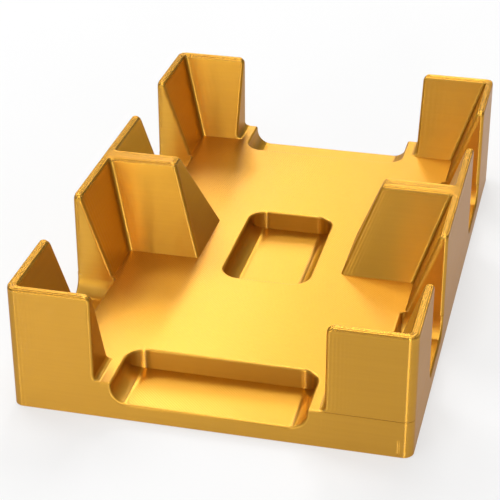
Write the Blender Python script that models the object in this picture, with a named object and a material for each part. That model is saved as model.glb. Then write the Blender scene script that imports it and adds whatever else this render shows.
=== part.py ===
# Playing card tray with two wells, whose walls stand on one base plate.
# Metres, +Z up. X runs across the tray, Y along it, and the origin is the
# centre of the underside.

import math

import bmesh
import bpy

MM = 0.001

# Overall size
WIDTH = 117.4 * MM
LENGTH = 183.2 * MM
HEIGHT = 39.4 * MM
CORNER_RADIUS = 3.0 * MM

# Base plate, with the heights of its ledge and of the floor of its recesses
LEDGE_HEIGHT = 11.9 * MM
FLOOR_HEIGHT = 5.4 * MM
RECESS_SIDE_RADIUS = 6.4 * MM
RIM_ROUNDING = 0.8 * MM

# Finger scoops at both ends of the plate
END_SCOOP_WIDTH = 57.2 * MM
END_SCOOP_DEPTH = 20.2 * MM
RECESS_PLAN_RADIUS = 6.0 * MM

# Recess in the middle of the plate, between the wells
MIDDLE_RECESS_WIDTH = 28.0 * MM
MIDDLE_RECESS_LENGTH = 46.6 * MM

# Notches in the long sides, two on each side
NOTCH_WIDTH = 28.1 * MM
NOTCH_CENTRE = 46.3 * MM
NOTCH_DEPTH = 12.7 * MM
NOTCH_PLAN_RADIUS = 1.2 * MM

# Walls: every inner face leans outwards from its foot to its top
SIDE_WALL_FOOT = 11.9 * MM
SIDE_WALL_TOP = 2.4 * MM
END_WALL_FOOT = 13.3 * MM
END_WALL_TOP = 2.4 * MM
END_OPENING_WIDTH = 67.0 * MM
INNER_FILLET = 1.2 * MM
UPRIGHT_EDGE_ROUNDING = 1.15 * MM
TOP_EDGE_ROUNDING = 0.9 * MM
END_TOP_ROUNDING = 2.0 * MM
FOOT_FLARE = 1.8 * MM

# Dividers between the two wells
DIVIDER_FOOT = 28.2 * MM
DIVIDER_TOP = 5.6 * MM
DIVIDER_GAP_FOOT = 46.8 * MM
DIVIDER_GAP_TOP = 67.8 * MM

# Clearance of each wall to the plate that it stands on, and the overrun of a cut
SEAT_GAP = 0.3 * MM
CUT_OVERRUN = 2.0 * MM

# Facets of a full turn on large and small roundings, and steps up a rounding
LARGE_TURN_FACETS = 48
SMALL_TURN_FACETS = 16
FLARE_STEPS = 3
TOP_STEPS = 5
RIM_STEPS = 2

# Angle between faces from which an edge counts as sharp, in degrees
SHARP_DEGREES = 40

# Share of the seat gap within which two heights or places count as one
SLACK_SHARE = 0.1

# Share of the inset at the top of a wall by which its upright edges get sharper
TOP_TAPER_SHARE = 0.75

GOLD = (0.72, 0.42, 0.07, 1.0)
DEEP_GOLD = (0.62, 0.33, 0.05, 1.0)


def clear_scene():
    for thing in list(bpy.data.objects):
        bpy.data.objects.remove(thing)


def make_material(name, colour):
    material = bpy.data.materials.new(name)
    material.use_nodes = True
    shader = material.node_tree.nodes["Principled BSDF"]
    shader.inputs["Base Color"].default_value = colour
    shader.inputs["Roughness"].default_value = 0.32
    shader.inputs["Metallic"].default_value = 0.55
    return material


def round_corner(before, corner, after, radius, facets):
    """Points of an arc that rounds a corner between two straight runs."""
    into = (before[0] - corner[0], before[1] - corner[1])
    out = (after[0] - corner[0], after[1] - corner[1])
    into_length = math.hypot(*into)
    out_length = math.hypot(*out)
    into = (into[0] / into_length, into[1] / into_length)
    out = (out[0] / out_length, out[1] / out_length)
    half_angle = math.acos(max(-1.0, min(1.0, into[0] * out[0] + into[1] * out[1]))) / 2
    radius = min(radius, min(into_length, out_length) / 2 * math.tan(half_angle))
    reach = radius / math.tan(half_angle)
    bisector = (into[0] + out[0], into[1] + out[1])
    bisector_length = math.hypot(*bisector)
    to_centre = radius / math.sin(half_angle)
    centre = (corner[0] + bisector[0] / bisector_length * to_centre,
              corner[1] + bisector[1] / bisector_length * to_centre)
    start = math.atan2(corner[1] + into[1] * reach - centre[1],
                       corner[0] + into[0] * reach - centre[0])
    end = math.atan2(corner[1] + out[1] * reach - centre[1],
                     corner[0] + out[0] * reach - centre[0])
    sweep = (end - start + math.pi) % math.tau - math.pi
    return [(centre[0] + radius * math.cos(start + sweep * step / facets),
             centre[1] + radius * math.sin(start + sweep * step / facets))
            for step in range(facets + 1)]


def rounded_outline(corners):
    """Closed outline through (x, y, radius, facets of the corner)."""
    points = []
    for index, (x, y, radius, facets) in enumerate(corners):
        before = corners[index - 1]
        after = corners[(index + 1) % len(corners)]
        if radius > 0:
            points += round_corner(before, (x, y), after, radius, facets)
        else:
            points.append((x, y))
    return points


def loft(name, sections, material):
    """Closed solid through outlines of equal point count, given bottom to top."""
    shape = bmesh.new()
    rings = [[shape.verts.new((x, y, z)) for x, y in outline] for z, outline in sections]
    count = len(rings[0])
    for lower, upper in zip(rings, rings[1:]):
        for index in range(count):
            after = (index + 1) % count
            shape.faces.new((lower[index], lower[after], upper[after], upper[index]))
    shape.faces.new(list(reversed(rings[0])))
    shape.faces.new(rings[-1])
    bmesh.ops.recalc_face_normals(shape, faces=shape.faces)
    mesh = bpy.data.meshes.new(name)
    shape.to_mesh(mesh)
    shape.free()
    mesh.materials.append(material)
    thing = bpy.data.objects.new(name, mesh)
    bpy.context.collection.objects.link(thing)
    mesh.shade_smooth()
    mesh.set_sharp_from_angle(angle=math.radians(SHARP_DEGREES))
    return thing


def as_cutter(thing):
    thing.hide_render = True
    thing.display_type = "WIRE"
    return thing


def add_boolean(thing, operation, other):
    cut = thing.modifiers.new(operation.title() + "_" + other.name, "BOOLEAN")
    cut.operation = operation
    cut.object = other
    cut.solver = "EXACT"


# Base plate

def bowl_profile(half_width, top):
    """Cross-section of a recess: flat floor, quarter-round sides, open top."""
    radius = RECESS_SIDE_RADIUS
    facets = LARGE_TURN_FACETS // 4
    return rounded_outline([
        (half_width, top, 0, 0),
        (-half_width, top, 0, 0),
        (-half_width, FLOOR_HEIGHT, radius, facets),
        (half_width, FLOOR_HEIGHT, radius, facets)])


def profile_prism(name, profile, start, end, along, material):
    """Prism of a cross-section, run from start to end along the x or y axis."""
    shape = bmesh.new()
    rings = []
    for place in (start, end):
        if along == "x":
            rings.append([shape.verts.new((place, across, up)) for across, up in profile])
        else:
            rings.append([shape.verts.new((across, place, up)) for across, up in profile])
    count = len(profile)
    for index in range(count):
        after = (index + 1) % count
        shape.faces.new((rings[0][index], rings[0][after], rings[1][after], rings[1][index]))
    shape.faces.new(rings[0])
    shape.faces.new(rings[1])
    bmesh.ops.recalc_face_normals(shape, faces=shape.faces)
    mesh = bpy.data.meshes.new(name)
    shape.to_mesh(mesh)
    shape.free()
    mesh.materials.append(material)
    thing = bpy.data.objects.new(name, mesh)
    bpy.context.collection.objects.link(thing)
    return thing


def recess_cutter(name, x_range, y_range, plan_radii, along, material):
    """Bowl-shaped cutter whose plan corners are rounded, open at its top."""
    bottom = FLOOR_HEIGHT - CUT_OVERRUN
    top = LEDGE_HEIGHT + CUT_OVERRUN
    bowl_top = top + CUT_OVERRUN
    x_low, x_high = x_range
    y_low, y_high = y_range
    facets = (SMALL_TURN_FACETS if along == "x" else LARGE_TURN_FACETS) // 4
    corners = [(x_low, y_low), (x_high, y_low), (x_high, y_high), (x_low, y_high)]
    plan = rounded_outline([(x, y, radius, facets)
                            for (x, y), radius in zip(corners, plan_radii)])
    if along == "y":
        middle = (x_low + x_high) / 2
        profile = [(middle + across, up)
                   for across, up in bowl_profile((x_high - x_low) / 2, bowl_top)]
        run = (y_low - CUT_OVERRUN, y_high + CUT_OVERRUN)
    else:
        middle = (y_low + y_high) / 2
        profile = [(middle + across, up)
                   for across, up in bowl_profile((y_high - y_low) / 2, bowl_top)]
        run = (x_low - CUT_OVERRUN, x_high + CUT_OVERRUN)
    bowl = as_cutter(profile_prism(name + "_profile", profile, run[0], run[1], along, material))
    block = as_cutter(loft(name, [(bottom, plan), (top, plan)], material))
    add_boolean(block, "INTERSECT", bowl)
    return block


def recess_cutters(material):
    """Cutters of the end scoops, the middle recess and the side notches."""
    cutters = []
    plan = RECESS_PLAN_RADIUS
    scoop_half = END_SCOOP_WIDTH / 2
    scoop_start = LENGTH / 2 - END_SCOOP_DEPTH
    scoop_end = LENGTH / 2 + CUT_OVERRUN
    cutters.append(recess_cutter("front_scoop_cutter", (-scoop_half, scoop_half),
                                 (-scoop_end, -scoop_start), (0, 0, plan, plan), "y", material))
    cutters.append(recess_cutter("back_scoop_cutter", (-scoop_half, scoop_half),
                                 (scoop_start, scoop_end), (plan, plan, 0, 0), "y", material))
    half_width = MIDDLE_RECESS_WIDTH / 2
    half_length = MIDDLE_RECESS_LENGTH / 2
    cutters.append(recess_cutter("middle_recess_cutter", (-half_width, half_width),
                                 (-half_length, half_length), (plan,) * 4, "y", material))
    plan = NOTCH_PLAN_RADIUS
    inner = WIDTH / 2 - NOTCH_DEPTH
    outer = WIDTH / 2 + CUT_OVERRUN
    for y_name, y_sign in (("front", -1), ("back", 1)):
        y_range = (y_sign * NOTCH_CENTRE - NOTCH_WIDTH / 2, y_sign * NOTCH_CENTRE + NOTCH_WIDTH / 2)
        cutters.append(recess_cutter(y_name + "_right_notch_cutter", (inner, outer), y_range,
                                     (plan, 0, 0, plan), "x", material))
        cutters.append(recess_cutter(y_name + "_left_notch_cutter", (-outer, -inner), y_range,
                                     (0, plan, plan, 0), "x", material))
    return cutters


def is_free_rim(edge):
    """True on a convex upper edge of the plate that no wall stands on."""
    if len(edge.link_faces) != 2 or not edge.is_convex:
        return False
    if edge.calc_face_angle(0) < math.radians(SHARP_DEGREES):
        return False
    slack = SEAT_GAP * SLACK_SHARE
    low = min(vertex.co.z for vertex in edge.verts)
    if low < FLOOR_HEIGHT - slack:
        return False
    if low < LEDGE_HEIGHT - slack:
        return True
    middle = (edge.verts[0].co + edge.verts[1].co) / 2
    across, along = abs(middle.x), abs(middle.y)
    if along > LENGTH / 2 - slack:
        return across < END_OPENING_WIDTH / 2 - FOOT_FLARE
    if across > WIDTH / 2 - NOTCH_DEPTH + slack:
        return False
    return True


def round_rims(base):
    """Rounds the free rims of the recesses and leaves edges under a wall sharp."""
    evaluated = base.evaluated_get(bpy.context.evaluated_depsgraph_get())
    mesh = bpy.data.meshes.new_from_object(evaluated)
    base.modifiers.clear()
    base.data = mesh
    shape = bmesh.new()
    shape.from_mesh(mesh)
    for place in (-1, 1):
        bmesh.ops.bisect_plane(
            shape, geom=shape.verts[:] + shape.edges[:] + shape.faces[:],
            plane_co=(place * (END_OPENING_WIDTH / 2 - FOOT_FLARE), 0, 0), plane_no=(1, 0, 0))
    bmesh.ops.bevel(shape, geom=[edge for edge in shape.edges if is_free_rim(edge)],
                    offset=RIM_ROUNDING, offset_type="OFFSET", segments=RIM_STEPS,
                    profile=0.5, affect="EDGES")
    shape.to_mesh(mesh)
    shape.free()
    mesh.shade_smooth()
    mesh.set_sharp_from_angle(angle=math.radians(SHARP_DEGREES))


def make_base(material):
    """Rounded plate with its scoops, middle recess and side notches cut out."""
    quarter = LARGE_TURN_FACETS // 4
    half_width = WIDTH / 2
    half_length = LENGTH / 2
    plan = rounded_outline([(x, y, CORNER_RADIUS, quarter) for x, y in (
        (-half_width, -half_length), (half_width, -half_length),
        (half_width, half_length), (-half_width, half_length))])
    base = loft("base", [(0, plan), (LEDGE_HEIGHT, plan)], material)
    for cutter in recess_cutters(material):
        add_boolean(base, "DIFFERENCE", cutter)
    round_rims(base)
    return base


# Walls

def lean(z, foot, top):
    """Size at height z of a wall that narrows evenly from foot to top."""
    share = (z - LEDGE_HEIGHT) / (HEIGHT - LEDGE_HEIGHT)
    return foot + (top - foot) * share


def foot_levels():
    """Heights of a wall's sections where its foot flares, from the seat upwards."""
    levels = [LEDGE_HEIGHT + SEAT_GAP]
    for step in range(1, FLARE_STEPS + 1):
        turn = math.pi / 2 * step / FLARE_STEPS
        height = LEDGE_HEIGHT + FOOT_FLARE * (1 - math.cos(turn))
        if height > levels[-1] + SEAT_GAP * SLACK_SHARE:
            levels.append(height)
    return levels


def foot_flare(z):
    """Reach of the concave fillet at a wall's foot, at height z."""
    rise = min((z - LEDGE_HEIGHT) / FOOT_FLARE, 1)
    return FOOT_FLARE * (1 - math.sqrt(1 - (1 - rise) ** 2))


def top_levels():
    """Heights of a wall's sections where its top is rounded."""
    turns = [math.pi / 2 * step / TOP_STEPS for step in range(TOP_STEPS + 1)]
    return [HEIGHT - END_TOP_ROUNDING * (1 - math.sin(turn)) for turn in turns]


def set_back(z, radius):
    """How far a wall's face is drawn in at height z by a rounding of its top edge."""
    rise = max(z - (HEIGHT - radius), 0)
    return radius - math.sqrt(max(radius ** 2 - rise ** 2, 0))


def mirrored(outline, x_sign, y_sign):
    """Outline in another quadrant, kept counter-clockwise."""
    turned = [(x * x_sign, y * y_sign) for x, y in outline]
    return turned if x_sign * y_sign > 0 else list(reversed(turned))


def corner_wall_outline(z):
    """Plan of an L-shaped corner wall in the +X, +Y quadrant."""
    inset = set_back(z, TOP_EDGE_ROUNDING)
    end_inset = set_back(z, END_TOP_ROUNDING)
    outer_x = WIDTH / 2 - inset
    outer_y = LENGTH / 2 - inset
    inner_x = WIDTH / 2 - lean(z, SIDE_WALL_FOOT, SIDE_WALL_TOP) + inset
    inner_y = LENGTH / 2 - lean(z, END_WALL_FOOT, END_WALL_TOP) + inset
    end_x = END_OPENING_WIDTH / 2 + end_inset - foot_flare(z)
    end_y = NOTCH_CENTRE + NOTCH_WIDTH / 2 + end_inset
    edge = UPRIGHT_EDGE_ROUNDING - inset * TOP_TAPER_SHARE
    large = LARGE_TURN_FACETS // 4
    small = SMALL_TURN_FACETS // 4
    return rounded_outline([
        (outer_x, end_y, edge, small),
        (outer_x, outer_y, CORNER_RADIUS - inset, large),
        (end_x, outer_y, edge, small),
        (end_x, inner_y, edge, small),
        (inner_x, inner_y, INNER_FILLET + inset, small),
        (inner_x, end_y, edge, small)])


def make_corner_wall(name, x_sign, y_sign, material):
    sections = [(z, mirrored(corner_wall_outline(z), x_sign, y_sign))
                for z in foot_levels() + top_levels()]
    return loft(name, sections, material)


def divider_wall_outline(z):
    """Plan of the middle stretch of the right wall with its divider, a T."""
    inset = set_back(z, TOP_EDGE_ROUNDING)
    outer_x = WIDTH / 2 - inset
    inner_x = WIDTH / 2 - lean(z, SIDE_WALL_FOOT, SIDE_WALL_TOP) + inset
    end_y = NOTCH_CENTRE - NOTCH_WIDTH / 2 - set_back(z, END_TOP_ROUNDING)
    stem_y = lean(z, DIVIDER_FOOT, DIVIDER_TOP) / 2 - inset
    stem_x = lean(z, DIVIDER_GAP_FOOT, DIVIDER_GAP_TOP) / 2 + inset
    edge = UPRIGHT_EDGE_ROUNDING - inset * TOP_TAPER_SHARE
    small = SMALL_TURN_FACETS // 4
    fillet = INNER_FILLET + inset
    return rounded_outline([
        (outer_x, -end_y, edge, small),
        (outer_x, end_y, edge, small),
        (inner_x, end_y, edge, small),
        (inner_x, stem_y, fillet, small),
        (stem_x, stem_y, edge, small),
        (stem_x, -stem_y, edge, small),
        (inner_x, -stem_y, fillet, small),
        (inner_x, -end_y, edge, small)])


def make_divider_wall(name, x_sign, material):
    sections = [(z, mirrored(divider_wall_outline(z), x_sign, 1))
                for z in [LEDGE_HEIGHT + SEAT_GAP] + top_levels()]
    return loft(name, sections, material)


def main():
    clear_scene()
    gold = make_material("silk_gold", GOLD)
    deep_gold = make_material("silk_gold_plate", DEEP_GOLD)
    make_base(deep_gold)
    for y_name, y_sign in (("front", -1), ("back", 1)):
        for x_name, x_sign in (("left", -1), ("right", 1)):
            make_corner_wall(y_name + "_" + x_name + "_corner_wall", x_sign, y_sign, gold)
    make_divider_wall("left_divider_wall", -1, gold)
    make_divider_wall("right_divider_wall", 1, gold)


main()
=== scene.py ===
import math

import bmesh
import bpy
from mathutils import Matrix, Vector


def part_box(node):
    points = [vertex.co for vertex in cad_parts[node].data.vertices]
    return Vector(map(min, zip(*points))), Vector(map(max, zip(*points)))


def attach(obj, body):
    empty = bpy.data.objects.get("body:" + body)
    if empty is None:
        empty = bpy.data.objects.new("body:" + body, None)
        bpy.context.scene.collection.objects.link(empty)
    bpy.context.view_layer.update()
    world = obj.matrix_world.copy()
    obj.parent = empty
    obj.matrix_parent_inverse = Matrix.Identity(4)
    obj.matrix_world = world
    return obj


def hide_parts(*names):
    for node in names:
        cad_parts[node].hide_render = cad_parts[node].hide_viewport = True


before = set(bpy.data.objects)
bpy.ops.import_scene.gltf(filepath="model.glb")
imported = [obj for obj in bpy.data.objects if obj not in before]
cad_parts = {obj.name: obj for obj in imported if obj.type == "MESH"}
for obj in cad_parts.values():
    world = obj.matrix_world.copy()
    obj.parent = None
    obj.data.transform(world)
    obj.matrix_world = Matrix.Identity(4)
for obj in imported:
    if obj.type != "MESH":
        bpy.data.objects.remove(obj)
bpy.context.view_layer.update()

# Base plate
# A slab of satin gold plastic, printed flat on the bed, with its ledge 11.9 mm up.
# Finger scoops with quarter-round sides are sunk 6.5 mm into it and have rounded
# rims. The walls are printed on from it, with a fine seam along the right half.

MM = 0.001
plate_low, plate_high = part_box("base")
PLATE_CORNER_RADIUS = 3.0 * MM
SCOOP_FLOOR = 5.4 * MM
SCOOP_SIDE_RADIUS = 6.4 * MM
SCOOP_PLAN_RADIUS = 6.0 * MM
END_SCOOP = (57.2 * MM, 20.2 * MM)
MIDDLE_RECESS = (28.0 * MM, 46.6 * MM)
NOTCH = (12.7 * MM, 28.1 * MM)
NOTCH_CENTRE = 46.3 * MM
NOTCH_PLAN_RADIUS = 1.2 * MM
END_OPENING = 67.0 * MM
FOOT_FLARE = 1.8 * MM
RIM_ROUNDING = 0.8 * MM
SEAM_STEP = 0.22 * MM
SEAM_MARGIN = 1.5 * MM
BED_CHAMFER = 0.25 * MM
SCAR_PLACE = 54.6 * MM
SCAR_HEIGHTS = (1.0 * MM, 5.7 * MM)
SCAR_RADIUS = 1.05 * MM
SCAR_DEPTH = 0.14 * MM
OVERRUN = 2.0 * MM
SLACK = 0.1 * MM
LARGE_FACETS = 24
SMALL_FACETS = 8
SHARP = math.radians(40)

plate_half = Vector((plate_high.x, plate_high.y))
ledge = plate_high.z
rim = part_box("left_divider_wall")[1].z
GOLD = (0.64, 0.324, 0.032, 1.0)
GOLD_DEEP = (0.626, 0.314, 0.031, 1.0)
# Darker gold that is mixed into the base colour as painted shade in the valleys between strands.
GOLD_VALLEY_SHADE = (0.525, 0.255, 0.022, 1.0)
GRAZING_GOLD = (0.6, 0.42, 0.26, 1.0)
LAYER_HEIGHT = 0.2 * MM
LAYER_DEPTH = 0.012 * MM
GLOSS_BEAD_DEPTH = 0.06 * MM
STREAK_DEPTH = 0.0004 * MM
SKIN_PITCH = 0.7 * MM
SKIN_DEPTH = 0.08 * MM
SKIN_ROUGH_DEPTH = 0.012 * MM
RIPPLE_LENGTH = 1.1 * MM
RIPPLE_DECAY = 4.0 * MM
RIPPLE_DEPTH = 0.016 * MM
RIM_RIPPLE_LENGTH = 0.7 * MM
RIM_RIPPLE_DECAY = 1.2 * MM
RIM_RIPPLE_DEPTH = 0.012 * MM
NO_RIPPLE = 100 * MM
LEAST_RUN = 2.0 * MM
STRAND_RISE = 0.12 * MM
LAYER_NOISE = (30.0, 30.0, 1500.0)
SKIN_NOISE = (900.0, 900.0, 900.0)
NOISE_SPAN = (0.3, 0.7)
LEVEL_FACING = (0.93, 0.985)
SQUARE_FACING = 0.99
VALLEY_SHARE = 0.45
CREST_SHARES = (-0.3, 0.7)
FINISH_ROUGHNESS = 0.31
ROUGHNESS_SWING = 0.004
RIM_SHEEN = 0.05
SHEEN_BAND = 3.0 * MM


def add_math(tree, operation, first, second=None):
    """Adds a maths node and returns its result; a value may be a socket or a number."""
    node = tree.nodes.new("ShaderNodeMath")
    node.operation = operation
    for socket, value in zip(node.inputs, (first, second)):
        if isinstance(value, bpy.types.NodeSocket):
            tree.links.new(value, socket)
        elif value is not None:
            socket.default_value = value
    return node.outputs[0]


def add_mix(tree, kind, factor, first, second):
    """Mixes two floats, vectors or colours by a factor."""
    node = tree.nodes.new("ShaderNodeMix")
    node.data_type = kind
    first_input, second_input, output = {"FLOAT": (2, 3, 0), "VECTOR": (4, 5, 1), "RGBA": (6, 7, 2)}[kind]
    for index, value in ((0, factor), (first_input, first), (second_input, second)):
        if isinstance(value, bpy.types.NodeSocket):
            tree.links.new(value, node.inputs[index])
        else:
            node.inputs[index].default_value = value
    return node.outputs[output]


def add_ramp(tree, value, start, end, low=0.0, high=1.0):
    """Maps a value smoothly from one range onto another."""
    node = tree.nodes.new("ShaderNodeMapRange")
    node.interpolation_type = "SMOOTHSTEP"
    tree.links.new(value, node.inputs["Value"])
    node.inputs["From Min"].default_value = start
    node.inputs["From Max"].default_value = end
    node.inputs["To Min"].default_value = low
    node.inputs["To Max"].default_value = high
    return node.outputs["Result"]


def add_noise(tree, place, turns):
    """Noise on the object's own coordinates, with its turns a metre along each axis."""
    stretch = tree.nodes.new("ShaderNodeMapping")
    stretch.inputs["Scale"].default_value = turns
    tree.links.new(place, stretch.inputs["Vector"])
    noise = tree.nodes.new("ShaderNodeTexNoise")
    noise.inputs["Scale"].default_value = 1.0
    noise.inputs["Detail"].default_value = 2.0
    tree.links.new(stretch.outputs["Vector"], noise.inputs["Vector"])
    return noise.outputs["Fac"]


def add_ripple(tree, run, length, decay, depth):
    """Waves that die away with the distance that the nozzle has run from a corner."""
    wave = add_math(tree, "COSINE", add_math(tree, "MULTIPLY", run, math.tau / length))
    fade = add_math(tree, "EXPONENT", add_math(tree, "MULTIPLY", run, -1 / decay))
    return add_math(tree, "MULTIPLY", add_math(tree, "MULTIPLY", wave, fade), depth)


def add_beads(tree, place, pitch, depth):
    """Round-backed beads of plastic side by side, with sharp valleys between them."""
    turns = add_math(tree, "MULTIPLY", place, 1 / pitch)
    bead = add_math(tree, "SQRT", add_math(tree, "PINGPONG", turns, 0.5))
    return add_math(tree, "MULTIPLY", bead, depth)


def make_printed_gold():
    """Satin gold print: level layers on the sides, diagonal strands on flat tops, and painted shade in the
    valleys between strands.
    """
    material = bpy.data.materials.new("printed_gold")
    material.use_nodes = True
    tree = material.node_tree
    shader = tree.nodes["Principled BSDF"]
    place = tree.nodes.new("ShaderNodeTexCoord").outputs["Object"]
    spot = tree.nodes.new("ShaderNodeSeparateXYZ")
    tree.links.new(place, spot.inputs["Vector"])
    facing = tree.nodes.new("ShaderNodeSeparateXYZ")
    tree.links.new(tree.nodes.new("ShaderNodeNewGeometry").outputs["Normal"], facing.inputs["Vector"])
    flat = add_ramp(tree, facing.outputs["Z"], *LEVEL_FACING)

    layer_noise = add_noise(tree, place, LAYER_NOISE)
    past_corner = tree.nodes.new("ShaderNodeAttribute")
    past_corner.attribute_name = "past_corner"
    below_rim = add_math(tree, "SUBTRACT", rim, spot.outputs["Z"])
    side = add_beads(tree, spot.outputs["Z"], LAYER_HEIGHT, LAYER_DEPTH)
    for bump_part in (
            add_math(tree, "MULTIPLY", layer_noise, STREAK_DEPTH),
            add_ripple(tree, past_corner.outputs["Fac"], RIPPLE_LENGTH, RIPPLE_DECAY, RIPPLE_DEPTH),
            add_ripple(tree, below_rim, RIM_RIPPLE_LENGTH, RIM_RIPPLE_DECAY, RIM_RIPPLE_DEPTH)):
        side = add_math(tree, "ADD", side, bump_part)

    diagonal = add_math(tree, "MULTIPLY", add_math(tree, "ADD", spot.outputs["X"], spot.outputs["Y"]),
                        math.sqrt(0.5))
    skin_noise = add_noise(tree, place, SKIN_NOISE)
    top = add_beads(tree, diagonal, SKIN_PITCH, SKIN_DEPTH)
    top = add_math(tree, "ADD", top, add_math(tree, "MULTIPLY", skin_noise, SKIN_ROUGH_DEPTH))

    bump = tree.nodes.new("ShaderNodeBump")
    bump.inputs["Distance"].default_value = 1.0
    tree.links.new(add_mix(tree, "FLOAT", flat, side, top), bump.inputs["Height"])
    tree.links.new(bump.outputs["Normal"], shader.inputs["Normal"])
    gloss_beads = add_beads(tree, spot.outputs["Z"], LAYER_HEIGHT, GLOSS_BEAD_DEPTH)
    gloss_bump = tree.nodes.new("ShaderNodeBump")
    gloss_bump.inputs["Distance"].default_value = 1.0
    tree.links.new(add_mix(tree, "FLOAT", flat, gloss_beads, top), gloss_bump.inputs["Height"])
    tree.links.new(gloss_bump.outputs["Normal"], shader.inputs["Coat Normal"])
    upright = (0.0, 0.0, 1.0)
    across_strands = (math.sqrt(0.5), math.sqrt(0.5), 0.0)
    tree.links.new(add_mix(tree, "VECTOR", flat, upright, across_strands), shader.inputs["Tangent"])

    streak = add_mix(tree, "FLOAT", flat, layer_noise, skin_noise)
    tone = add_mix(tree, "RGBA", add_ramp(tree, streak, *NOISE_SPAN), GOLD_DEEP, GOLD)
    # Painted shade: the base colour darkens in the valleys of the diagonal strands on flat tops, and just
    # under the crest of the wall tops, between the laid strands.
    valley_shade = add_ramp(tree, add_beads(tree, diagonal, SKIN_PITCH, 1.0), 0.0, VALLEY_SHARE, 1.0, 0.0)
    valley_shade = add_math(tree, "MULTIPLY", valley_shade, flat)
    above_crest = add_math(tree, "SUBTRACT", STRAND_RISE, below_rim)
    between = add_ramp(tree, above_crest, 0.0, CREST_SHARES[1] * STRAND_RISE, 1.0, 0.0)
    on_top = add_ramp(tree, above_crest, CREST_SHARES[0] * STRAND_RISE, 0.0)
    valley_shade = add_math(tree, "MAXIMUM", valley_shade, add_math(tree, "MULTIPLY", between, on_top))
    tree.links.new(add_mix(tree, "RGBA", valley_shade, tone, GOLD_VALLEY_SHADE), shader.inputs["Base Color"])
    sheen = add_ramp(tree, spot.outputs["Z"], rim - SHEEN_BAND, rim, 0.0, RIM_SHEEN)
    rough = add_ramp(tree, streak, *NOISE_SPAN, FINISH_ROUGHNESS + ROUGHNESS_SWING,
                     FINISH_ROUGHNESS - ROUGHNESS_SWING)
    tree.links.new(add_math(tree, "SUBTRACT", rough, sheen), shader.inputs["Roughness"])
    shader.inputs["Metallic"].default_value = 0.9
    shader.inputs["Anisotropic"].default_value = 1.0
    shader.inputs["Coat Weight"].default_value = 0.35
    shader.inputs["Coat Roughness"].default_value = 0.2
    shader.inputs["Coat IOR"].default_value = 1.46
    shader.inputs["Specular Tint"].default_value = GRAZING_GOLD
    return material


printed_gold = make_printed_gold()


def round_corner(before, corner, after, radius, facets):
    """Points of an arc that rounds a corner between two straight runs."""
    corner = Vector(corner)
    into = Vector(before) - corner
    out = Vector(after) - corner
    reach_limit = min(into.length, out.length) / 2
    into.normalize()
    out.normalize()
    half_angle = math.acos(max(-1.0, min(1.0, into.dot(out)))) / 2
    radius = min(radius, reach_limit * math.tan(half_angle))
    centre = corner + (into + out).normalized() * (radius / math.sin(half_angle))
    start_arm = corner + into * (radius / math.tan(half_angle)) - centre
    end_arm = corner + out * (radius / math.tan(half_angle)) - centre
    start = math.atan2(start_arm.y, start_arm.x)
    sweep = (math.atan2(end_arm.y, end_arm.x) - start + math.pi) % math.tau - math.pi
    return [(centre.x + radius * math.cos(start + sweep * step / facets),
             centre.y + radius * math.sin(start + sweep * step / facets))
            for step in range(facets + 1)]


def rounded_outline(corners):
    """Closed outline through corners given as (x, y, radius, facets)."""
    points = []
    for index, (x, y, radius, facets) in enumerate(corners):
        before = corners[index - 1][:2]
        after = corners[(index + 1) % len(corners)][:2]
        if radius > 0:
            points += round_corner(before, (x, y), after, radius, facets)
        else:
            points.append((x, y))
    return points


def add_piece(name, shape):
    """Object with a shape as its mesh, faces outwards, linked to the scene."""
    bmesh.ops.recalc_face_normals(shape, faces=shape.faces)
    mesh = bpy.data.meshes.new(name)
    shape.to_mesh(mesh)
    shape.free()
    piece = bpy.data.objects.new(name, mesh)
    bpy.context.scene.collection.objects.link(piece)
    return piece


def loft(name, sections):
    """Closed solid through outlines of equal point count, given bottom to top.

    The corner values past_corner hold the distance that the nozzle has run along
    a straight stretch, counter-clockwise, since the turn before it.
    """
    shape = bmesh.new()
    past_corner = shape.loops.layers.float.new("past_corner")
    rings = [[shape.verts.new((x, y, z)) for x, y in outline] for z, outline in sections]
    count = len(rings[0])
    for lower, upper in zip(rings, rings[1:]):
        for index in range(count):
            after = (index + 1) % count
            face = shape.faces.new((lower[index], lower[after], upper[after], upper[index]))
            run = (lower[after].co - lower[index].co).length
            for corner in face.loops:
                started = corner.vert in (lower[index], upper[index])
                corner[past_corner] = NO_RIPPLE if run < LEAST_RUN else 0 if started else run
    for cap in (list(reversed(rings[0])), rings[-1]):
        for corner in shape.faces.new(cap).loops:
            corner[past_corner] = NO_RIPPLE
    return add_piece(name, shape)


def bowl_prism(name, half_width, centre, start, end, along):
    """Prism of a flat-floored bowl's cross-section, run along the x or y axis."""
    top = ledge + OVERRUN * 2
    profile = rounded_outline([
        (half_width, top, 0, 0), (-half_width, top, 0, 0),
        (-half_width, SCOOP_FLOOR, SCOOP_SIDE_RADIUS, LARGE_FACETS),
        (half_width, SCOOP_FLOOR, SCOOP_SIDE_RADIUS, LARGE_FACETS)])
    shape = bmesh.new()
    rings = []
    for place in (start, end):
        if along == "x":
            rings.append([shape.verts.new((place, centre + u, v)) for u, v in profile])
        else:
            rings.append([shape.verts.new((centre + u, place, v)) for u, v in profile])
    for index in range(len(profile)):
        after = (index + 1) % len(profile)
        shape.faces.new((rings[0][index], rings[0][after], rings[1][after], rings[1][index]))
    shape.faces.new(rings[0])
    shape.faces.new(rings[1])
    return add_piece(name, shape)


def add_boolean(piece, operation, other):
    """Cuts a piece by another, or keeps what the two share."""
    cut = piece.modifiers.new(operation, "BOOLEAN")
    cut.operation = operation
    cut.object = other
    cut.solver = "EXACT"


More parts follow.
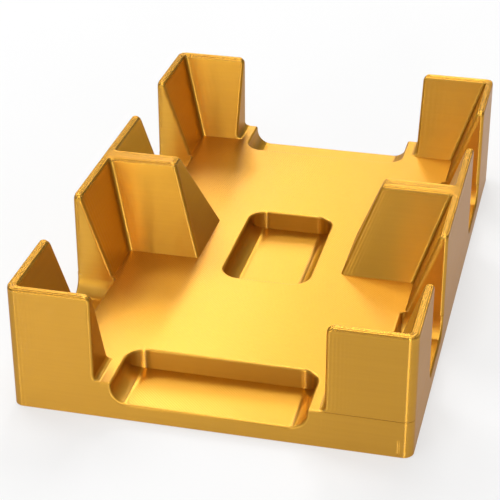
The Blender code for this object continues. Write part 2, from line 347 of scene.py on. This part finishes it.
def scoop_cutter(name, x_range, y_range, radii, along):
    """Bowl with rounded plan corners, the shape of the air in a scoop."""
    facets = SMALL_FACETS if along == "x" else LARGE_FACETS
    corners = ((x_range[0], y_range[0]), (x_range[1], y_range[0]),
               (x_range[1], y_range[1]), (x_range[0], y_range[1]))
    plan = rounded_outline([(x, y, radius, facets) for (x, y), radius in zip(corners, radii)])
    block = loft(name, [(SCOOP_FLOOR - OVERRUN, plan), (ledge + OVERRUN, plan)])
    across_range, run = (x_range, y_range) if along == "y" else (y_range, x_range)
    bowl = bowl_prism(name + "_bowl", (across_range[1] - across_range[0]) / 2, sum(across_range) / 2,
                      run[0] - OVERRUN, run[1] + OVERRUN, along)
    add_boolean(block, "INTERSECT", bowl)
    return block, bowl


def scar_cutter():
    """The short upright groove that the start of each layer left low on the front."""
    place = (SCAR_PLACE, -plate_half.y - SCAR_RADIUS + SCAR_DEPTH)
    turns = [math.tau * step / (2 * LARGE_FACETS) for step in range(2 * LARGE_FACETS)]
    ring = [(place[0] + SCAR_RADIUS * math.cos(turn), place[1] + SCAR_RADIUS * math.sin(turn))
            for turn in turns]
    return loft("scar_air", [(height, ring) for height in SCAR_HEIGHTS])


def cut_scoops(plate):
    """Sinks the end scoops, the middle recess, the side notches and the scar."""
    scar = scar_cutter()
    add_boolean(plate, "DIFFERENCE", scar)
    tools = []
    radius = SCOOP_PLAN_RADIUS
    half = END_SCOOP[0] / 2
    inner = plate_half.y - END_SCOOP[1]
    outer = plate_half.y + OVERRUN
    tools += scoop_cutter("front_scoop_air", (-half, half), (-outer, -inner), (0, 0, radius, radius), "y")
    tools += scoop_cutter("back_scoop_air", (-half, half), (inner, outer), (radius, radius, 0, 0), "y")
    half = MIDDLE_RECESS[0] / 2
    reach = MIDDLE_RECESS[1] / 2
    tools += scoop_cutter("middle_air", (-half, half), (-reach, reach), (radius,) * 4, "y")
    radius = NOTCH_PLAN_RADIUS
    inner = plate_half.x - NOTCH[0]
    outer = plate_half.x + OVERRUN
    for side in (-1, 1):
        span = (side * NOTCH_CENTRE - NOTCH[1] / 2, side * NOTCH_CENTRE + NOTCH[1] / 2)
        tools += scoop_cutter("right_air", (inner, outer), span, (radius, 0, 0, radius), "x")
        tools += scoop_cutter("left_air", (-outer, -inner), span, (0, radius, radius, 0), "x")
    for block in tools[::2]:
        add_boolean(plate, "DIFFERENCE", block)
    bpy.context.view_layer.update()
    mesh = bpy.data.meshes.new_from_object(plate.evaluated_get(bpy.context.evaluated_depsgraph_get()))
    plate.modifiers.clear()
    plate.data = mesh
    for tool in tools + [scar]:
        bpy.data.objects.remove(tool)


def is_free(edge):
    """True on an upper edge of the plate that no wall stands on."""
    low = min(vertex.co.z for vertex in edge.verts)
    middle = (edge.verts[0].co + edge.verts[1].co) / 2
    if low < ledge - SLACK:
        return abs(middle.x - SCAR_PLACE) > SCAR_RADIUS or middle.y > -plate_half.y + SCAR_RADIUS
    if abs(middle.y) > plate_half.y - SLACK:
        return abs(middle.x) < END_OPENING / 2 - FOOT_FLARE
    return abs(middle.x) < plate_half.x - NOTCH[0] + SLACK


def is_seam(edge):
    """True on the outer upper edge of the plate where a wall of the right half stands."""
    middle = (edge.verts[0].co + edge.verts[1].co) / 2
    outside = max(abs(middle.x) - plate_half.x, abs(middle.y) - plate_half.y) > -PLATE_CORNER_RADIUS
    by_notch = abs(abs(middle.y) - NOTCH_CENTRE) < NOTCH[1] / 2 + SEAM_MARGIN
    return middle.x > 0 and outside and not by_notch and middle.z > ledge - SLACK


def soften_rims(plate):
    """Rounds the free rims and breaks the edges under the right walls to a seam."""
    shape = bmesh.new()
    shape.from_mesh(plate.data)
    planes = []
    for side in (-1, 1):
        planes.append(((side * (END_OPENING / 2 - FOOT_FLARE), 0, 0), (1, 0, 0)))
        for edge_side in (-1, 1):
            notch_edge = NOTCH_CENTRE + edge_side * (NOTCH[1] / 2 + SEAM_MARGIN)
            planes.append(((0, side * notch_edge, 0), (0, 1, 0)))
    for place, across in planes:
        bmesh.ops.bisect_plane(shape, geom=shape.verts[:] + shape.edges[:] + shape.faces[:],
                               plane_co=place, plane_no=across)
    rims = [edge for edge in shape.edges
            if edge.is_manifold and edge.is_convex and edge.calc_face_angle(0) > SHARP
            and min(vertex.co.z for vertex in edge.verts) > SCOOP_FLOOR - SLACK]
    free = [edge for edge in rims if is_free(edge)]
    bmesh.ops.bevel(shape, geom=free, offset=RIM_ROUNDING, offset_type="OFFSET", segments=4,
                    profile=0.5, affect="EDGES")
    seam = [edge for edge in shape.edges
            if edge.is_manifold and edge.is_convex and edge.calc_face_angle(0) > SHARP and is_seam(edge)]
    bmesh.ops.bevel(shape, geom=seam, offset=SEAM_STEP, offset_type="OFFSET", segments=2,
                    profile=0.5, affect="EDGES")
    shape.to_mesh(plate.data)
    shape.free()


def mark_ripples(plate):
    """Gives the plate's sides the ripples that follow a corner or an opening.

    A run holds the turn before it, its start and its end, along the nozzle's way.
    """
    corner_x = PLATE_CORNER_RADIUS - plate_half.x
    corner_y = PLATE_CORNER_RADIUS - plate_half.y
    free = END_OPENING / 2 - FOOT_FLARE
    end_runs = ((corner_x, corner_x, -free), (END_SCOOP[0] / 2, free, plate_half.x))
    gap = NOTCH[1] / 2 + SEAM_MARGIN
    side_runs = ((corner_y, corner_y, -NOTCH_CENTRE - gap),
                 (NOTCH[1] / 2 - NOTCH_CENTRE, gap - NOTCH_CENTRE, NOTCH_CENTRE - gap),
                 (NOTCH[1] / 2 + NOTCH_CENTRE, gap + NOTCH_CENTRE, plate_half.y))
    layer = plate.data.attributes["past_corner"].data
    for face in plate.data.polygons:
        runs = ()
        if abs(face.normal.y) > SQUARE_FACING and abs(face.center.y) > plate_half.y - SLACK:
            runs = end_runs
        if abs(face.normal.x) > SQUARE_FACING and abs(face.center.x) > plate_half.x - SLACK:
            runs = side_runs
        travel = Vector((-face.normal.y, face.normal.x, 0))
        turns = [turn for turn, start, end in runs if start < face.center.dot(travel) < end]
        for corner in face.loop_indices:
            place = plate.data.vertices[plate.data.loops[corner].vertex_index].co
            layer[corner].value = place.dot(travel) - turns[0] if turns else NO_RIPPLE


def smooth_evenly(mesh):
    """Averages the normals at a corner by area, over the faces that turn less than SHARP."""
    around = [[] for vertex in mesh.vertices]
    for face in mesh.polygons:
        for vertex in face.vertices:
            around[vertex].append(face)
    normals = []
    for face in mesh.polygons:
        for vertex in face.vertices:
            normal = Vector()
            for other in around[vertex]:
                if face.normal.dot(other.normal) > math.cos(SHARP):
                    normal += other.normal * other.area
            normals.append(normal.normalized())
    mesh.shade_smooth()
    mesh.normals_split_custom_set(normals)


def finish_piece(piece, node):
    """Smooths a printed piece, gives it its plastic and puts it in its node's place."""
    smooth_evenly(piece.data)
    piece.data.materials.clear()
    piece.data.materials.append(printed_gold)
    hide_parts(node)
    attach(piece, "root")


plate_corners = [(x * plate_half.x, y * plate_half.y) for x, y in ((-1, -1), (1, -1), (1, 1), (-1, 1))]
plate_sections = []
for height, inset in ((0, BED_CHAMFER), (BED_CHAMFER, 0), (ledge, 0)):
    plate_sections.append((height, rounded_outline([
        (x - math.copysign(inset, x), y - math.copysign(inset, y), PLATE_CORNER_RADIUS - inset, LARGE_FACETS)
        for x, y in plate_corners])))
printed_base = loft("printed_base", plate_sections)
cut_scoops(printed_base)
soften_rims(printed_base)
mark_ripples(printed_base)
finish_piece(printed_base, "base")


# Corner walls
# L-shaped walls of the same print, upright outside and leaning outwards inside, so
# that what is put in slides down to the ledge. They are 12 to 13 mm thick at the
# foot and 2.4 mm at the top, flared at the foot and rounded on every edge.

SIDE_WALL = (11.9 * MM, 2.4 * MM)
END_WALL = (13.3 * MM, 2.4 * MM)
UPRIGHT_EDGE_ROUNDING = 1.15 * MM
TOP_EDGE_ROUNDING = 0.9 * MM
END_TOP_ROUNDING = 2.0 * MM
TOP_TAPER_SHARE = 0.75
INNER_FILLET = 1.2 * MM
SEAM_LIP = 0.12 * MM
TOP_STEPS = 12
FLARE_STEPS = 6
crest = rim - STRAND_RISE


def lean(height, foot_and_top):
    """Thickness at a height of a wall that narrows evenly from foot to top."""
    share = (height - ledge) / (rim - ledge)
    return foot_and_top[0] + (foot_and_top[1] - foot_and_top[0]) * share


def foot_flare(height):
    """Reach of the concave fillet at a wall's foot."""
    rise = min((height - ledge) / FOOT_FLARE, 1)
    return FOOT_FLARE * (1 - math.sqrt(1 - (1 - rise) ** 2))


def set_back(height, radius):
    """How far a face is drawn in at a height by the rounding of its top edge."""
    rise = max(height - (crest - radius), 0)
    return radius - math.sqrt(max(radius ** 2 - rise ** 2, 0))


def seam_lip(height, x_side):
    """Undercut along the seam at the foot of the right half's outer faces."""
    return max(SEAM_LIP - (height - ledge), 0) if x_side > 0 else 0


def foot_levels(x_side):
    """Heights of the sections at a wall's foot, through its flare."""
    turns = [math.pi / 2 * step / FLARE_STEPS for step in range(2, FLARE_STEPS + 1)]
    levels = [ledge + FOOT_FLARE * (1 - math.cos(turn)) for turn in turns]
    return [ledge, ledge + SEAM_LIP] + levels if x_side > 0 else [ledge] + levels


def top_levels():
    """Heights of the sections where a wall's top is rounded over."""
    turns = [math.pi / 2 * step / TOP_STEPS for step in range(TOP_STEPS + 1)]
    return [crest - END_TOP_ROUNDING * (1 - math.sin(turn)) for turn in turns]


def mirrored(outline, x_side, y_side):
    """Outline in another quadrant of the tray, kept counter-clockwise."""
    turned = [(x * x_side, y * y_side) for x, y in outline]
    return turned if x_side * y_side > 0 else turned[::-1]


def corner_outline(height, lip=0):
    """Plan of the L-shaped wall in the right back corner."""
    inset = set_back(height, TOP_EDGE_ROUNDING)
    end_inset = set_back(height, END_TOP_ROUNDING)
    outer_x = plate_half.x - inset - lip
    outer_y = plate_half.y - inset - lip
    inner_x = plate_half.x - lean(height, SIDE_WALL) + inset
    inner_y = plate_half.y - lean(height, END_WALL) + inset
    end_x = END_OPENING / 2 + end_inset - foot_flare(height)
    end_y = NOTCH_CENTRE + NOTCH[1] / 2 + end_inset
    edge = UPRIGHT_EDGE_ROUNDING - inset * TOP_TAPER_SHARE
    return rounded_outline([
        (outer_x, end_y, edge, SMALL_FACETS),
        (outer_x, outer_y, PLATE_CORNER_RADIUS - inset, LARGE_FACETS),
        (end_x, outer_y, edge, SMALL_FACETS),
        (end_x, inner_y, edge, SMALL_FACETS),
        (inner_x, inner_y, INNER_FILLET + inset, SMALL_FACETS),
        (inner_x, end_y, edge, SMALL_FACETS)])


for y_name, y_side in (("front", -1), ("back", 1)):
    for x_name, x_side in (("left", -1), ("right", 1)):
        node = y_name + "_" + x_name + "_corner_wall"
        wall = loft("printed_" + node, [
            (height, mirrored(corner_outline(height, seam_lip(height, x_side)), x_side, y_side))
            for height in foot_levels(x_side) + top_levels()])
        finish_piece(wall, node)


# Divider walls
# The middle stretch of each long side and the divider that grows from it, a T in
# plan and one with the print. The divider tapers from 28 mm at the ledge to 5.6 mm
# at the top, and its end leans back, which leaves a gap for the fingers.

DIVIDER = (28.2 * MM, 5.6 * MM)
DIVIDER_GAP = (46.8 * MM, 67.8 * MM)


def divider_outline(height, lip=0):
    """Plan of the T-shaped wall on the right side."""
    inset = set_back(height, TOP_EDGE_ROUNDING)
    outer_x = plate_half.x - inset - lip
    inner_x = plate_half.x - lean(height, SIDE_WALL) + inset
    end_y = NOTCH_CENTRE - NOTCH[1] / 2 - set_back(height, END_TOP_ROUNDING)
    stem_y = lean(height, DIVIDER) / 2 - inset
    stem_x = lean(height, DIVIDER_GAP) / 2 + inset
    edge = UPRIGHT_EDGE_ROUNDING - inset * TOP_TAPER_SHARE
    fillet = INNER_FILLET + inset
    return rounded_outline([
        (outer_x, -end_y, edge, SMALL_FACETS), (outer_x, end_y, edge, SMALL_FACETS),
        (inner_x, end_y, edge, SMALL_FACETS), (inner_x, stem_y, fillet, SMALL_FACETS),
        (stem_x, stem_y, edge, SMALL_FACETS), (stem_x, -stem_y, edge, SMALL_FACETS),
        (inner_x, -stem_y, fillet, SMALL_FACETS), (inner_x, -end_y, edge, SMALL_FACETS)])


for x_name, x_side in (("left", -1), ("right", 1)):
    node = x_name + "_divider_wall"
    heights = ([ledge, ledge + SEAM_LIP] if x_side > 0 else [ledge]) + top_levels()
    wall = loft("printed_" + node, [
        (height, mirrored(divider_outline(height, seam_lip(height, x_side)), x_side, 1))
        for height in heights])
    finish_piece(wall, node)


# Top strands
# The last layer of each wall, as the nozzle laid it: two strands of plastic follow
# the outline of the top, with a third on the dividers, and a zigzag fills the rest.
# Each was pressed hot onto the layer below, so only its rounded back stands proud.

STRAND_WIDTH = 0.5 * MM
EDGE_STRAND_INSETS = (0.4 * MM, 0.9 * MM)
EDGE_STRAND_STEP = 0.3 * MM
STEM_STRAND_INSET = 1.4 * MM
FILL_PITCH = 0.7 * MM
FILL_MARGIN = 1.25 * MM
STEM_FILL_MARGIN = STRAND_WIDTH * 1.4
STRAND_WANDER = 0.03 * MM
STRAND_SIDES = 8
STRAND_SEED = 7


def make_strand_tree():
    """Lays flattened strands along edge paths, swung to and fro by their reach."""
    tree = bpy.data.node_groups.new("laid_strands", "GeometryNodeTree")
    tree.interface.new_socket("Paths", in_out="INPUT", socket_type="NodeSocketGeometry")
    for name in ("Step", "Strand Width", "Strand Rise", "Wander"):
        tree.interface.new_socket(name, in_out="INPUT", socket_type="NodeSocketFloat")
    tree.interface.new_socket("Plastic", in_out="INPUT", socket_type="NodeSocketMaterial")
    tree.interface.new_socket("Strands", in_out="OUTPUT", socket_type="NodeSocketGeometry")
    given = tree.nodes.new("NodeGroupInput").outputs
    result = tree.nodes.new("NodeGroupOutput").inputs

    curve = tree.nodes.new("GeometryNodeMeshToCurve")
    tree.links.new(given["Paths"], curve.inputs["Mesh"])
    steps = tree.nodes.new("GeometryNodeResampleCurve")
    steps.mode = "LENGTH"
    tree.links.new(curve.outputs["Curve"], steps.inputs["Curve"])
    tree.links.new(given["Step"], steps.inputs["Length"])

    sideways = tree.nodes.new("ShaderNodeVectorMath")
    sideways.operation = "CROSS_PRODUCT"
    tree.links.new(tree.nodes.new("GeometryNodeInputTangent").outputs["Tangent"], sideways.inputs[0])
    sideways.inputs[1].default_value = (0.0, 0.0, 1.0)
    reach = tree.nodes.new("GeometryNodeInputNamedAttribute")
    reach.data_type = "FLOAT"
    reach.inputs["Name"].default_value = "reach"
    index = tree.nodes.new("GeometryNodeInputIndex").outputs["Index"]
    swing = add_math(tree, "SUBTRACT", add_math(tree, "FLOORED_MODULO", index, 2.0), 0.5)
    swing = add_math(tree, "MULTIPLY", add_math(tree, "MULTIPLY", swing, 2.0), reach.outputs["Attribute"])
    chance = tree.nodes.new("FunctionNodeRandomValue")
    chance.data_type = "FLOAT"
    chance.inputs["Min"].default_value = -1.0
    chance.inputs["Max"].default_value = 1.0
    chance.inputs["Seed"].default_value = STRAND_SEED
    random_value = [socket for socket in chance.outputs if socket.type == "VALUE"][0]
    swing = add_math(tree, "ADD", swing, add_math(tree, "MULTIPLY", random_value, given["Wander"]))
    offset = tree.nodes.new("ShaderNodeVectorMath")
    offset.operation = "SCALE"
    tree.links.new(sideways.outputs["Vector"], offset.inputs[0])
    tree.links.new(swing, offset.inputs["Scale"])
    swung = tree.nodes.new("GeometryNodeSetPosition")
    tree.links.new(steps.outputs["Curve"], swung.inputs["Geometry"])
    tree.links.new(offset.outputs["Vector"], swung.inputs["Offset"])
    level = tree.nodes.new("GeometryNodeSetCurveNormal")
    level.mode = "Z_UP"
    tree.links.new(swung.outputs["Geometry"], level.inputs["Curve"])

    section = tree.nodes.new("GeometryNodeCurvePrimitiveCircle")
    section.inputs["Resolution"].default_value = STRAND_SIDES
    section.inputs["Radius"].default_value = 1.0
    size = tree.nodes.new("ShaderNodeCombineXYZ")
    tree.links.new(add_math(tree, "MULTIPLY", given["Strand Width"], 0.5), size.inputs["X"])
    tree.links.new(given["Strand Rise"], size.inputs["Y"])
    size.inputs["Z"].default_value = 1.0
    pressed = tree.nodes.new("GeometryNodeTransform")
    tree.links.new(section.outputs["Curve"], pressed.inputs["Geometry"])
    tree.links.new(size.outputs["Vector"], pressed.inputs["Scale"])
    strand = tree.nodes.new("GeometryNodeCurveToMesh")
    tree.links.new(level.outputs["Curve"], strand.inputs["Curve"])
    tree.links.new(pressed.outputs["Geometry"], strand.inputs["Profile Curve"])
    strand.inputs["Fill Caps"].default_value = True
    smooth = tree.nodes.new("GeometryNodeSetShadeSmooth")
    tree.links.new(strand.outputs["Mesh"], smooth.inputs["Geometry"])
    real = tree.nodes.new("GeometryNodeRealizeInstances")
    tree.links.new(smooth.outputs["Geometry"], real.inputs["Geometry"])
    plastic = tree.nodes.new("GeometryNodeSetMaterial")
    tree.links.new(real.outputs["Geometry"], plastic.inputs["Geometry"])
    tree.links.new(given["Plastic"], plastic.inputs["Material"])
    tree.links.new(plastic.outputs["Geometry"], result["Strands"])
    return tree


strand_tree = make_strand_tree()


def lay_strands(name, paths, step):
    """Piece of strands along paths, each a list of ((x, y, z), reach) and closed or not."""
    points = []
    edges = []
    reaches = []
    for path, closed in paths:
        first = len(points)
        points += [place for place, reach in path]
        reaches += [reach for place, reach in path]
        edges += [(first + index, first + index + 1) for index in range(len(path) - 1)]
        if closed:
            edges.append((first + len(path) - 1, first))
    mesh = bpy.data.meshes.new(name + "_paths")
    mesh.from_pydata(points, edges, [])
    mesh.attributes.new("reach", "FLOAT", "POINT").data.foreach_set("value", reaches)
    guide = bpy.data.objects.new(name + "_guide", mesh)
    bpy.context.scene.collection.objects.link(guide)
    laid = guide.modifiers.new("laid", "NODES")
    laid.node_group = strand_tree
    values = {"Step": step, "Strand Width": STRAND_WIDTH, "Strand Rise": STRAND_RISE,
              "Wander": STRAND_WANDER, "Plastic": printed_gold}
    for item in strand_tree.interface.items_tree:
        if item.in_out == "INPUT" and item.name in values:
            laid[item.identifier] = values[item.name]
    bpy.context.view_layer.update()
    result = guide.evaluated_get(bpy.context.evaluated_depsgraph_get())
    piece = bpy.data.objects.new(name, bpy.data.meshes.new_from_object(result))
    piece.data.name = name
    bpy.data.objects.remove(guide)
    bpy.context.scene.collection.objects.link(piece)
    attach(piece, "root")


def level_at_inset(inset):
    """Height on a wall's rounded top edge where the face is drawn in by an inset."""
    drop = TOP_EDGE_ROUNDING - math.sqrt(TOP_EDGE_ROUNDING ** 2 - (TOP_EDGE_ROUNDING - inset) ** 2)
    return crest - drop


def fill_path(points, reach):
    """Open path through points at the height of the crest, all with one reach."""
    return ([((x, y, crest), reach) for x, y in points], False)


edge_paths = []
fill_paths = []
top_middle = plate_half.x - lean(rim, SIDE_WALL) / 2
end_middle = plate_half.y - lean(rim, END_WALL) / 2
side_reach = lean(rim, SIDE_WALL) / 2 + STRAND_WIDTH / 2 - FILL_MARGIN
stem_reach = lean(rim, DIVIDER) / 2 - STEM_STRAND_INSET - STEM_FILL_MARGIN
notch_end = NOTCH_CENTRE + NOTCH[1] / 2 + END_TOP_ROUNDING
notch_start = NOTCH_CENTRE - NOTCH[1] / 2 - END_TOP_ROUNDING
for x_side in (-1, 1):
    for inset in EDGE_STRAND_INSETS:
        height = level_at_inset(inset)
        rings = [mirrored(corner_outline(height), x_side, y_side) for y_side in (-1, 1)]
        rings.append(mirrored(divider_outline(height), x_side, 1))
        edge_paths += [([((x, y, height), 0.0) for x, y in ring], True) for ring in rings]
    for y_side in (-1, 1):
        corner_run = [(top_middle, notch_end), (top_middle, end_middle),
                      (END_OPENING / 2 + END_TOP_ROUNDING, end_middle)]
        fill_paths.append(fill_path(mirrored(corner_run, x_side, y_side), side_reach))
        side_run = [(top_middle, notch_start), (top_middle, lean(rim, DIVIDER) / 2)]
        fill_paths.append(fill_path(mirrored(side_run, x_side, y_side), side_reach))
    stem_side = lean(rim, DIVIDER) / 2 - STEM_STRAND_INSET
    stem_end = lean(rim, DIVIDER_GAP) / 2 + STEM_STRAND_INSET
    stem_loop = mirrored([(top_middle, -stem_side), (stem_end, -stem_side), (stem_end, stem_side),
                          (top_middle, stem_side)], x_side, 1)
    edge_paths.append(([((x, y, crest), 0.0) for x, y in stem_loop], False))
    stem_run = [(stem_end + STRAND_WIDTH, 0), (plate_half.x - FILL_MARGIN, 0)]
    fill_paths.append(fill_path(mirrored(stem_run, x_side, 1), stem_reach))
lay_strands("edge_strands", edge_paths, EDGE_STRAND_STEP)
lay_strands("fill_strands", fill_paths, FILL_PITCH)


# Studio
# Pale matt paper that reaches past the view, under soft boxes. The two low narrow
# strips in front draw the lines of light on the corners, the tall boxes beside
# them fill the fronts, and those behind and above light the ledge and the tops.

FLOOR_SIZE = 6.0
PAPER_GREY = (0.31, 0.31, 0.31, 1.0)
PAPER_GLOW = 0.6
WORLD_LIGHT = 0.2

floor_mesh = bpy.data.meshes.new("floor")
reach = FLOOR_SIZE / 2
floor_corners = [(-reach, -reach, 0), (reach, -reach, 0), (reach, reach, 0), (-reach, reach, 0)]
floor_mesh.from_pydata(floor_corners, [], [(0, 1, 2, 3)])
floor = bpy.data.objects.new("floor", floor_mesh)
bpy.context.scene.collection.objects.link(floor)
paper = bpy.data.materials.new("pale_paper")
paper.use_nodes = True
tree = paper.node_tree
tree.nodes.clear()
matt = tree.nodes.new("ShaderNodeBsdfDiffuse")
matt.inputs["Color"].default_value = PAPER_GREY
glow = tree.nodes.new("ShaderNodeEmission")
both = tree.nodes.new("ShaderNodeAddShader")
tree.links.new(matt.outputs[0], both.inputs[0])
tree.links.new(glow.outputs[0], both.inputs[1])
tree.links.new(both.outputs[0], tree.nodes.new("ShaderNodeOutputMaterial").inputs["Surface"])
floor_mesh.materials.append(paper)


def add_background_rays(tree):
    """One for the rays that show the pale background, and nought for those that light."""
    path = tree.nodes.new("ShaderNodeLightPath")
    shown = add_math(tree, "MAXIMUM", path.outputs["Is Camera Ray"], path.outputs["Is Glossy Ray"])
    return add_math(tree, "MAXIMUM", shown, path.outputs["Is Transmission Ray"])


tree.links.new(add_math(tree, "MULTIPLY", add_background_rays(tree), PAPER_GLOW), glow.inputs["Strength"])


def add_softbox(name, azimuth, elevation, distance, size, radiance):
    """Soft box that faces the tray; azimuth 0 is the front, and 90 the right side."""
    width, height = size
    lamp = bpy.data.lights.new(name, "AREA")
    lamp.shape = "RECTANGLE"
    lamp.size = width
    lamp.size_y = height
    lamp.energy = math.pi * width * height * radiance
    box = bpy.data.objects.new(name, lamp)
    turn = math.radians(azimuth)
    rise = math.radians(elevation)
    towards = Vector((math.sin(turn) * math.cos(rise), -math.cos(turn) * math.cos(rise), math.sin(rise)))
    box.location = towards * distance
    box.rotation_euler = (-towards).to_track_quat("-Z", "Y").to_euler()
    box.visible_camera = False
    bpy.context.scene.collection.objects.link(box)


add_softbox("front_left_softbox", -17, 14, 1.2, (0.18, 0.5), 3.2)
add_softbox("front_left_strip", -30, 9, 1.2, (0.06, 0.3), 34.0)
add_softbox("front_right_strip", 20, 9, 1.2, (0.24, 0.3), 20.5)
add_softbox("front_right_softbox", 50, 25, 1.2, (0.31, 0.95), 0.6)
add_softbox("high_front_softbox", -8, 60, 1.5, (0.9, 0.5), 1.6)
add_softbox("back_softbox", 196, 28, 1.5, (0.38, 0.5), 5.1)
add_softbox("high_back_softbox", 185, 50, 1.5, (0.38, 0.5), 9.1)
add_softbox("high_left_softbox", -128, 50, 1.5, (0.76, 0.5), 5.7)
add_softbox("top_softbox", 0, 90, 1.5, (0.8, 0.8), 4.5)

world = bpy.data.worlds.new("studio")
bpy.context.scene.world = world
world.use_nodes = True
tree = world.node_tree
background = tree.nodes["Background"]
background.inputs["Color"].default_value = (1.0, 1.0, 1.0, 1.0)
seen = tree.nodes.new("ShaderNodeLightPath").outputs["Is Camera Ray"]
tree.links.new(add_mix(tree, "FLOAT", seen, WORLD_LIGHT, 1.0), background.inputs["Strength"])


# Camera
# A long lens stands half a metre off, in front and a little to the right, and looks
# down at the tray at 29 degrees.

CAMERA_AZIMUTH = math.radians(13.62)
CAMERA_ELEVATION = math.radians(28.57)
CAMERA_ROLL = math.radians(-0.10)
CAMERA_TARGET = Vector((-7.2, -10.4, 15.0)) * MM
CAMERA_DISTANCE = 534.6 * MM

lens = bpy.data.cameras.new("camera")
lens.sensor_width = 36
lens.lens = 119.1
lens.clip_start = 0.01
camera = bpy.data.objects.new("camera", lens)
back = Vector((math.sin(CAMERA_AZIMUTH) * math.cos(CAMERA_ELEVATION),
               -math.cos(CAMERA_AZIMUTH) * math.cos(CAMERA_ELEVATION),
               math.sin(CAMERA_ELEVATION)))
right = Vector((math.cos(CAMERA_AZIMUTH), math.sin(CAMERA_AZIMUTH), 0))
up = back.cross(right)
rolled_right = right * math.cos(CAMERA_ROLL) + up * math.sin(CAMERA_ROLL)
rolled_up = up * math.cos(CAMERA_ROLL) - right * math.sin(CAMERA_ROLL)
camera.rotation_euler = Matrix((rolled_right, rolled_up, back)).transposed().to_euler()
camera.location = CAMERA_TARGET + back * CAMERA_DISTANCE
bpy.context.scene.collection.objects.link(camera)
bpy.context.scene.camera = camera
bpy.context.scene.view_settings.view_transform = "Standard"
